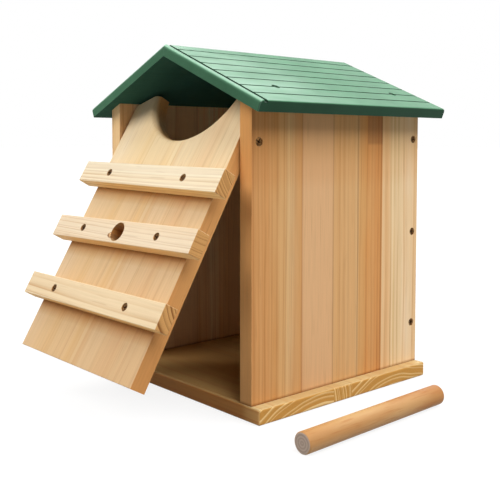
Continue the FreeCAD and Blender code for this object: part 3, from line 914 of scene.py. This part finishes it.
@dataclass
class Walls:
    """Base board, side panels and back panel."""

    span: Pair = (-0.2, 0.2)
    base_node: str = "base_board"
    base_edge: Colour = (0.99, 0.72, 0.49, 1)
    base_staves: tuple[Stave, ...] = (
        Stave(-0.2, grey(0.97), (-0.036, -0.13), 5.0 * MM),
        Stave(-0.022, WHITE, (-0.085, -0.02), 2.9 * MM),
        Stave(0.003, grey(1.02), (0.072, -0.12), 4.6 * MM),
    )
    # Painted shade across the base board between the side panels, inside the box and in front of the doorway.
    painted_floor_shade: Stops = (
        (-0.2, WHITE),
        (-0.108, WHITE),
        (-0.096, (0.88, 0.72, 0.54, 1)),
        (0.096, (0.88, 0.72, 0.54, 1)),
        (0.108, WHITE),
        (0.2, WHITE),
    )
    right: Panel = Panel(
        "right_side_panel", across=(0, 1, 0), outward=(1, 0, 0),
        staves=(
            Stave(-0.2, (0.81, 0.67, 0.51, 1), (-0.23, -0.03), 5.2 * MM),
            Stave(-0.0536, (0.87, 0.765, 0.72, 1), (-0.02, -0.13), 9 * MM),
            Stave(-0.0129, (0.88, 0.84, 0.76, 1), (-0.17, -0.02), 7 * MM),
            Stave(0.0222, (0.81, 0.63, 0.43, 1), (0.2, -0.05), 6 * MM),
            Stave(0.035, (0.84, 0.65, 0.45, 1), (0.2, -0.05), 6 * MM, 0.2385, (0.62, 0.46, 0.32, 1), False),
            Stave(0.0565, (1.01, 1.04, 1.08, 1), (0.23, -0.02), 8 * MM),
        ),
        lines=(
            Streak(-0.1082, 0.9 * MM, (0.82, 0.74, 0.64, 1)),
            Streak(-0.0967, 0.9 * MM, (0.76, 0.64, 0.5, 1)),
            Streak(-0.0818, 0.9 * MM, (0.78, 0.66, 0.52, 1)),
            Streak(-0.0739, 1.1 * MM, (0.8, 0.7, 0.58, 1)),
            Streak(0.0027, 0.9 * MM, (0.78, 0.68, 0.54, 1)),
            Streak(0.0535, 1.6 * MM, (0.66, 0.5, 0.34, 1)),
            Streak(0.0737, 0.9 * MM, (0.76, 0.64, 0.46, 1)),
            Streak(0.0784, 1.9 * MM, (0.8, 0.68, 0.48, 1)),
            Streak(0.0844, 0.9 * MM, (0.78, 0.68, 0.54, 1)),
            Streak(0.0898, 0.8 * MM, (0.72, 0.62, 0.48, 1)),
        ),
        bands=(
            Streak(-0.085, 7 * MM, (0.92, 0.8, 0.64, 1)),
            Streak(-0.0635, 9 * MM, (1.02, 1.2, 1.5, 1)),
            Streak(-0.004, 4 * MM, (1.05, 1.05, 1.0, 1)),
            Streak(0.037, 9 * MM, (0.98, 0.84, 0.68, 1)),
            Streak(0.1, 11 * MM, (1.06, 1.15, 1.36, 1)),
        ),
        # Painted light on the front and back edges.
        edge=(1.12, 1.13, 1.08, 1),
    )
    left: Panel = Panel(
        "left_side_panel", across=(0, 1, 0), outward=(-1, 0, 0),
        staves=(
            Stave(-0.2, (0.97, 0.92, 0.86, 1), (-0.2, -0.03), 6 * MM),
            Stave(-0.06, (0.93, 0.85, 0.77, 1), (-0.02, -0.12), 8 * MM, 0.1, (0.87, 0.77, 0.66, 1)),
            Stave(-0.014, (0.96, 0.9, 0.82, 1), (0.16, -0.02), 5 * MM),
            Stave(0.031, (0.91, 0.81, 0.7, 1), (0.05, -0.12), 7 * MM),
            Stave(0.072, (0.98, 0.95, 0.9, 1), (0.21, -0.02), 6 * MM),
        ),
        lines=(
            Streak(-0.083, 0.6 * MM, (0.82, 0.72, 0.6, 1)),
            Streak(-0.04, 0.5 * MM, (0.84, 0.76, 0.64, 1)),
            Streak(0.012, 1.0 * MM, (0.78, 0.66, 0.5, 1)),
            Streak(0.055, 0.5 * MM, (0.82, 0.74, 0.62, 1)),
            Streak(0.09, 0.6 * MM, (0.84, 0.76, 0.62, 1)),
        ),
        bands=(
            Streak(-0.102, 14 * MM, (0.94, 0.74, 0.5, 1)),
            Streak(0.022, 8 * MM, (0.98, 0.87, 0.73, 1)),
        ),
        # Painted light on the front and back edges, and on the inside, more towards the top.
        edge=(1.22, 1.52, 1.95, 1), inside=(1.02, 1.16, 1.5, 1), inside_top_light=(1.45, 1.85, 2.6, 1),
    )
    back: Panel = Panel(
        "back_panel", across=(1, 0, 0), outward=(0, 1, 0),
        staves=(
            Stave(-0.2, (0.94, 1.0, 1.12, 1), (-0.2, -0.02), 6 * MM),
            Stave(-0.052, (0.9, 0.92, 1.0, 1), (-0.03, -0.12), 8 * MM),
            Stave(-0.008, (0.95, 1.02, 1.16, 1), (0.14, -0.02), 5 * MM, 0.16, (0.88, 0.89, 0.95, 1)),
            Stave(0.041, (0.92, 0.95, 1.05, 1), (0.06, -0.12), 7 * MM),
        ),
        lines=(
            Streak(-0.07, 0.6 * MM, (0.82, 0.72, 0.6, 1)),
            Streak(-0.025, 0.5 * MM, (0.84, 0.76, 0.64, 1)),
            Streak(0.02, 0.8 * MM, (0.8, 0.68, 0.52, 1)),
            Streak(0.066, 0.6 * MM, (0.82, 0.74, 0.62, 1)),
        ),
        bands=(
            Streak(-0.04, 8 * MM, (0.97, 0.87, 0.75, 1)),
            Streak(0.03, 8 * MM, (0.98, 0.88, 0.75, 1)),
        ),
        # Painted light on the inside, more towards the top.
        edge=grey(0.9), inside=(1.06, 1.25, 1.55, 1), inside_top_light=(1.2, 1.4, 1.75, 1),
    )
    # Painted shadow in the crease along each panel's foot, and painted shade towards the top, under the roof.
    painted_height_shade: Stops = (
        (0.0, (0.36, 0.25, 0.16, 1)),
        (0.0008, (0.5, 0.38, 0.26, 1)),
        (0.002, WHITE),
        (0.18, WHITE),
        (0.2, (0.97, 0.92, 0.87, 1)),
        (0.222, (0.935, 0.87, 0.77, 1)),
        (0.35, (0.94, 0.87, 0.77, 1)),
    )

    def base(self) -> None:
        """Finish the base board, whose right edge is end grain."""
        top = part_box(self.base_node)[1].z
        board = Board((0, 0, top), across=(0, 1, 0), outward=(0, 0, 1), along=(1, 0, 0))
        pine = Pine(
            "base_pine", board, self.span, self.base_staves, shades=self.painted_floor_shade,
            spring=paint(212, 187, 135), warm=paint(200, 161, 104), contrast=0.5, seam=grey(0.85),
            end_spring=paint(199, 144, 68), end_summer=paint(238, 204, 142),
            high_edge=self.base_edge, low_edge=self.base_edge,
        )
        dress(self.base_node, pine.material())

    def upright(self, panel: Panel) -> None:
        """Finish one upright panel.

        Args:
            panel: the panel.
        """
        low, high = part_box(panel.node)
        sides = zip(panel.outward, low, high)
        face = tuple(far if way > 0 else near if way < 0 else 0.0 for way, near, far in sides)
        board = Board(face, panel.across, panel.outward, along=(0, 0, 1))
        shades = tuple((low.z + height, shade) for height, shade in self.painted_height_shade)
        pine = Pine(
            f"{panel.node}_pine", board, self.span, panel.staves, panel.lines, panel.bands, shades,
            high_edge=panel.edge, low_edge=panel.edge, inner_light=panel.inside, inner_top_light=panel.inside_top_light,
        )
        dress(panel.node, pine.material())

    def build(self) -> None:
        """Finish all the walls."""
        self.base()
        for panel in (self.right, self.left, self.back):
            self.upright(panel)


@dataclass
class Roof:
    """Two painted slopes with grooved strips."""

    nodes: tuple[str, ...] = ("left_roof_panel", "right_roof_panel")

    def build(self) -> None:
        """Paint both slopes."""
        ridge_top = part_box(self.nodes[0])[1].z
        finish = RoofPaint("roof_paint", ridge_top).material()
        for node in self.nodes:
            dress(node, finish)


@dataclass(frozen=True)
class Batten:
    """Cross strip of the door: its solid, its piece of the log, and how many degrees its right end sits low.

    The hole that it may have is a place across and along it, and so is the torn spot at the hole's rim.
    """

    node: str
    droop: float
    contrast: float
    end_summer: Colour
    stave: Stave
    bored: Pair | None = None
    torn: Pair | None = None

    def middle(self) -> Vector:
        """Middle of the strip."""
        low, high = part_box(self.node)
        return (low + high) / 2


@dataclass
class Door:
    """Swinging front with its three battens."""

    node: str = "door_panel"
    span: Pair = (-0.2, 0.2)
    slant: float = -0.06
    staves: tuple[Stave, ...] = (
        Stave(-0.2, (0.98, 0.99, 1.0, 1), (-0.06, -0.1), 7 * MM),
        Stave(0.0135, (0.95, 0.95, 0.98, 1), (0.16, -0.07), 8 * MM),
    )
    lines: tuple[Streak, ...] = (
        Streak(-0.07, 0.6 * MM, (0.9, 0.84, 0.74, 1)),
        Streak(-0.052, 0.5 * MM, (0.92, 0.86, 0.78, 1)),
        Streak(-0.031, 0.7 * MM, (0.92, 0.86, 0.76, 1)),
        Streak(0.009, 1.2 * MM, (0.9, 0.78, 0.6, 1)),
        Streak(0.031, 0.5 * MM, (0.92, 0.86, 0.78, 1)),
        Streak(0.052, 0.5 * MM, (0.93, 0.88, 0.82, 1)),
        Streak(0.071, 0.6 * MM, (0.9, 0.84, 0.76, 1)),
    )
    bands: tuple[Streak, ...] = (
        Streak(-0.076, 24 * MM, (1.0, 1.05, 1.2, 1)),
        Streak(-0.038, 9 * MM, (0.98, 0.93, 0.84, 1)),
        Streak(0.004, 8 * MM, (0.97, 0.88, 0.74, 1)),
        Streak(0.06, 14 * MM, (0.99, 0.93, 0.9, 1)),
    )
    shades: Stops = (
        (-0.24, (0.7, 0.61, 0.52, 1)),
        (-0.07, (0.785, 0.74, 0.685, 1)),
        (-0.025, (0.94, 0.96, 0.95, 1)),
        (0.06, (0.94, 0.93, 0.91, 1)),
    )
    edge: Colour = (1.03, 0.73, 0.44, 1)
    bore_height: float = -0.1052
    batten_span: Pair = (-0.05, 0.05)
    batten_half: float = 0.011
    battens: tuple[Batten, ...] = (
        Batten(
            "upper_batten", droop=0.7, contrast=0.95, end_summer=paint(150, 96, 44),
            stave=Stave(-0.05, (0.9, 0.93, 0.98, 1), (0.05, -0.033), 3.2 * MM),
        ),
        Batten(
            "middle_batten", droop=-0.9, contrast=0.62, end_summer=paint(180, 126, 70),
            stave=Stave(-0.05, (0.83, 0.805, 0.825, 1), (0.1, 0.01), 3.4 * MM),
            bored=(0.0, 0.0), torn=(-0.0042, -0.0088),
        ),
        Batten(
            "lower_batten", droop=-0.3, contrast=0.7, end_summer=paint(140, 88, 40),
            stave=Stave(-0.05, (0.8, 0.755, 0.7, 1), (0.035, -0.03), 4.4 * MM),
        ),
    )
    hinge: Triple = field(init=False)
    up: Triple = field(init=False)
    out: Triple = field(init=False)

    def __post_init__(self) -> None:
        """Take the hinge line and the angle that the door is drawn at from the record."""
        swing = next(joint for joint in frame["joints"] if joint["child"] == Body.DOOR.value)
        angle = math.radians(-swing["range_deg"][0])
        self.hinge = tuple(swing["pos_m"])
        self.up = (0.0, math.sin(angle), math.cos(angle))
        self.out = (0.0, -math.cos(angle), math.sin(angle))

    def shadow_ledges(self) -> tuple[Pair, ...]:
        """Find the lower edge of each batten on the door, below which a shadow is painted.

        Returns:
            For each batten, the edge's height above the hinge line and its rise across the door.
        """
        edges = []
        for batten in self.battens:
            height = (batten.middle() - Vector(self.hinge)).dot(Vector(self.up))
            edges.append((height - self.batten_half, -math.tan(math.radians(batten.droop))))
        return tuple(edges)

    def panel(self) -> None:
        """Finish the door's board, whose grain runs slightly aslant."""
        across = Vector((1, 0, 0)) + self.slant * Vector(self.up)
        board = Board(self.hinge, tuple(across), self.out, self.up)
        pine = Pine(
            "door_pine", board, self.span, self.staves, self.lines, self.bands, self.shades,
            spring=paint(243, 216, 172), warm=paint(236, 198, 146), contrast=0.2, seam=(0.86, 0.76, 0.62, 1),
            end_spring=paint(206, 156, 100), end_summer=paint(170, 114, 58),
            high_edge=self.edge, low_edge=self.edge,
            bored=(self.slant * self.bore_height, self.bore_height), shadow_ledges=self.shadow_ledges(),
        )
        dress(self.node, pine.material())

    def strip(self, batten: Batten) -> None:
        """Finish one batten, a piece of the log by itself.

        Args:
            batten: the batten.
        """
        board = Board(tuple(batten.middle()), self.up, self.out, along=(1, 0, 0))
        pine = Pine(
            f"{batten.node}_pine", board, self.batten_span, (batten.stave,),
            spring=paint(242, 224, 190), warm=paint(240, 216, 176), summer=paint(196, 146, 86),
            contrast=batten.contrast, wander=3 * MM,
            end_spring=paint(206, 154, 92), end_summer=batten.end_summer,
            # Painted light on each batten's lower edge, where the floor throws light up.
            high_edge=(0.95, 0.88, 0.76, 1), low_edge=(1.3, 1.08, 0.68, 1),
            bored=batten.bored, torn=batten.torn,
        )
        dress(batten.node, pine.material())

    def build(self) -> None:
        """Finish the door."""
        self.panel()
        for batten in self.battens:
            self.strip(batten)


@dataclass(frozen=True)
class Sliver:
    """Torn fibre: its height over the hole's middle, its length and width, and how far its tip stands out."""

    height: float
    length: float
    width: float
    lift: float


@dataclass
class Splinters:
    """Torn fibres at the lower left of the perch hole's rim."""

    name: str = "perch_hole_splinters"
    mount: str = "perch_socket"
    slivers: tuple[Sliver, ...] = (
        Sliver(-0.0026, 0.0034, 0.0009, 0.0004),
        Sliver(-0.0034, 0.0042, 0.0012, 0.0009),
        Sliver(-0.0042, 0.0036, 0.0011, 0.0005),
        Sliver(-0.0050, 0.0046, 0.0013, 0.0011),
        Sliver(-0.0058, 0.0030, 0.0010, 0.0006),
        Sliver(-0.0064, 0.0022, 0.0008, 0.0003),
    )
    root: float = 0.0016
    bed: float = 0.05 * MM
    thickness: float = 0.0004
    span: Pair = (-0.05, 0.05)
    stave: Stave = Stave(-0.05, WHITE, (0.03, -0.03), 2 * MM)
    contrast: float = 0.4

    def wedge(self, shape: bmesh.types.BMesh, outline: Sequence[Vector], out: Vector) -> None:
        """Add one thin wedge.

        Args:
            shape: mesh to add to.
            outline: its corners on the batten's face and at its tip.
            out: direction out of the face.
        """
        rises = (self.bed, self.thickness)
        lower, upper = ([shape.verts.new(corner + out * rise) for corner in outline] for rise in rises)
        shape.faces.new(upper)
        shape.faces.new(lower[::-1])
        for n in range(len(outline)):
            m = (n + 1) % len(outline)
            shape.faces.new((lower[n], lower[m], upper[m], upper[n]))

    def build(self) -> None:
        """Make each sliver a thin wedge that lies along the batten and rises towards the hole."""
        socket = next(mount for mount in frame["record"]["mounts"] if mount["name"] == self.mount)
        out = Vector(socket["axis"])
        middle = Vector(socket["pos_m"]) + out * socket["dims"]["length_mm"] * MM / 2
        radius = socket["dims"]["r_mm"] * MM
        along = Vector((1, 0, 0))
        up = out.cross(along)
        shape = bmesh.new()
        for sliver in self.slivers:
            start = -math.sqrt(radius**2 - sliver.height**2) - self.root
            root = middle + along * start + up * sliver.height
            tip = middle + along * (start + sliver.length) + up * sliver.height + out * sliver.lift
            half = up * sliver.width / 2
            self.wedge(shape, (root - half, root + half, tip), out)
        bmesh.ops.recalc_face_normals(shape, faces=shape.faces)
        mesh = bpy.data.meshes.new(self.name)
        shape.to_mesh(mesh)
        shape.free()
        piece = bpy.data.objects.new(self.name, mesh)
        bpy.context.scene.collection.objects.link(piece)
        board = Board(tuple(middle), tuple(up), tuple(out), tuple(along))
        wood = Pine("splinter_pine", board, self.span, (self.stave,), contrast=self.contrast)
        mesh.materials.append(wood.material())
        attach(piece, Body.DOOR.value)
        LOG.info("%s: %s", self.name, wood.name)


@dataclass
class Perch:
    """Loose dowel on the ground."""

    node: str = "perch_dowel"
    end_reach: float = 2 * MM

    def end(self, limit: float) -> Vector:
        """Find the middle of one end.

        Args:
            limit: how far the dowel goes to the front or the back.

        Returns:
            The middle of the points near there.
        """
        points = [vertex.co for vertex in frame["nodes"][self.node].data.vertices]
        near = [point for point in points if abs(point.y - limit) < self.end_reach]
        return sum(near, Vector()) / len(near)

    def build(self) -> None:
        """Finish the dowel along its own axis."""
        low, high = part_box(self.node)
        along = (self.end(high.y) - self.end(low.y)).normalized()
        across = Vector((0, 0, 1)).cross(along)
        board = Board(tuple((low + high) / 2), tuple(across), (0, 0, 1), tuple(along))
        dress(self.node, DowelWood("dowel_wood", board).material())


@dataclass
class Screws:
    """All the screws, by finish."""

    plating: ScrewFinish = ScrewFinish("bronze_plating", paint(132, 95, 56), paint(42, 27, 15), 1.0, 0.38)
    cover: ScrewFinish = ScrewFinish("painted_head", paint(34, 62, 46), paint(22, 44, 32), 0.0, 0.45)
    plated: tuple[str, ...] = (
        "left_pivot_screw", "right_pivot_screw",
        "left_wall_screws", "right_wall_screws",
        "left_base_screws", "right_base_screws", "back_base_screws",
        "upper_batten_screws", "middle_batten_screws", "lower_batten_screws",
    )
    painted: tuple[str, ...] = ("left_roof_screws", "right_roof_screws")

    def build(self) -> None:
        """Finish every screw."""
        for finish, nodes in ((self.plating, self.plated), (self.cover, self.painted)):
            material = finish.material()
            for node in nodes:
                dress(node, material)


@dataclass(frozen=True)
class Lamp:
    """Far soft lamp: degrees round from the front and above level, strength on a white board, and width."""

    name: str
    round: float
    above: float
    strength: float
    width: float

    def build(self) -> None:
        """Hang the lamp."""
        lamp = bpy.data.lights.new(self.name, "SUN")
        lamp.energy = self.strength * math.pi
        lamp.angle = math.radians(self.width)
        turn, rise = math.radians(self.round), math.radians(self.above)
        way = Vector((math.sin(turn) * math.cos(rise), -math.cos(turn) * math.cos(rise), math.sin(rise)))
        holder = bpy.data.objects.new(self.name, lamp)
        holder.rotation_euler = way.to_track_quat("Z", "Y").to_euler()
        bpy.context.scene.collection.objects.link(holder)


@dataclass
class Studio:
    """White floor and surround, soft lamps, and the camera."""

    camera_place: Triple = (0.61336, -0.55670, 0.23834)
    camera_turn: Triple = (math.pi / 2 - 0.0592, -0.001, 0.8443)
    sensor: float = 36.0
    lens: float = 57.50
    shift: Pair = (-0.0106, -0.1169)
    sight: Pair = (0.01, 100.0)
    floor_reach: float = 40.0
    floor_cells: int = 4
    floor_drop: float = 0.3 * MM
    floor_tone: float = 0.78
    floor_bounce: float = 0.3
    floor_share: float = 0.75
    floor_white: float = 1.1
    ambient: float = 0.1
    lamps: tuple[Lamp, ...] = (
        Lamp("right_lamp", 100, 53, 1.0, 52),
        Lamp("front_lamp", -20, 42, 0.72, 34),
        Lamp("left_lamp", 258, 36, 0.35, 45),
        Lamp("back_lamp", 205, 25, 0.35, 60),
    )

    def seen(self, tree: bpy.types.NodeTree) -> Socket:
        """One for what the camera sees, by itself or in a reflection, and zero for the light that goes round.

        Args:
            tree: graph to add to.

        Returns:
            The number's socket.
        """
        path = tree.nodes.new("ShaderNodeLightPath")
        seen = path.outputs["Is Camera Ray"]
        for name in ("Is Glossy Ray", "Is Transmission Ray"):
            either = tree.nodes.new("ShaderNodeMath")
            either.operation = Sum.LARGER.value
            tree.links.new(seen, either.inputs[0])
            tree.links.new(path.outputs[name], either.inputs[1])
            seen = either.outputs[0]
        return seen

    def surround(self) -> None:
        """Even light from all round, seen as white."""
        world = bpy.data.worlds.new("surround")
        bpy.context.scene.world = world
        world.use_nodes = True
        tree = world.node_tree
        tree.nodes.clear()
        strength = tree.nodes.new("ShaderNodeMapRange")
        strength.inputs["To Min"].default_value = self.ambient
        tree.links.new(self.seen(tree), strength.inputs["Value"])
        light = tree.nodes.new("ShaderNodeBackground")
        light.inputs["Color"].default_value = WHITE
        tree.links.new(strength.outputs[0], light.inputs["Strength"])
        output = tree.nodes.new("ShaderNodeOutputWorld")
        tree.links.new(light.outputs[0], output.inputs["Surface"])

    def floor(self) -> None:
        """Pale floor that keeps a soft shadow and throws some light back up."""
        mesh = bpy.data.meshes.new("floor")
        shape = bmesh.new()
        cells = self.floor_cells
        bmesh.ops.create_grid(shape, x_segments=cells, y_segments=cells, size=self.floor_reach)
        bmesh.ops.translate(shape, verts=shape.verts, vec=(0, 0, -self.floor_drop))
        shape.to_mesh(mesh)
        shape.free()
        floor = bpy.data.objects.new("floor", mesh)
        bpy.context.scene.collection.objects.link(floor)
        recipe = Recipe("floor_white")
        seen = self.seen(recipe.material.node_tree)
        tone = recipe.mix(seen, grey(self.floor_bounce), grey(self.floor_tone))
        lit = recipe.add("BsdfDiffuse", {"Color": tone}).outputs[0]
        white = recipe.add("Emission", {"Color": WHITE, "Strength": self.floor_white}).outputs[0]
        share = recipe.math(Sum.MULTIPLY, seen, self.floor_share)
        surface = recipe.add("MixShader", {0: share, 1: lit, 2: white}).outputs[0]
        recipe.add("OutputMaterial", {"Surface": surface})
        mesh.materials.append(recipe.material)

    def camera(self) -> None:
        """Camera at the photograph's view."""
        lens = bpy.data.cameras.new("camera")
        lens.sensor_width = self.sensor
        lens.lens = self.lens
        lens.shift_x, lens.shift_y = self.shift
        lens.clip_start, lens.clip_end = self.sight
        holder = bpy.data.objects.new("camera", lens)
        holder.location = self.camera_place
        holder.rotation_euler = self.camera_turn
        bpy.context.scene.collection.objects.link(holder)
        bpy.context.scene.camera = holder

    def build(self) -> None:
        """Set up the whole studio."""
        self.surround()
        self.floor()
        for lamp in self.lamps:
            lamp.build()
        self.camera()
        bpy.context.scene.view_settings.view_transform = "Standard"


def main() -> None:
    """Build every sub-assembly and the studio around it."""
    logging.basicConfig(level=logging.INFO)
    for part in (Walls(), Roof(), Door(), Splinters(), Perch(), Screws(), Studio()):
        part.build()
        LOG.info("%s done", type(part).__name__)


if __name__ == "__main__":
    main()
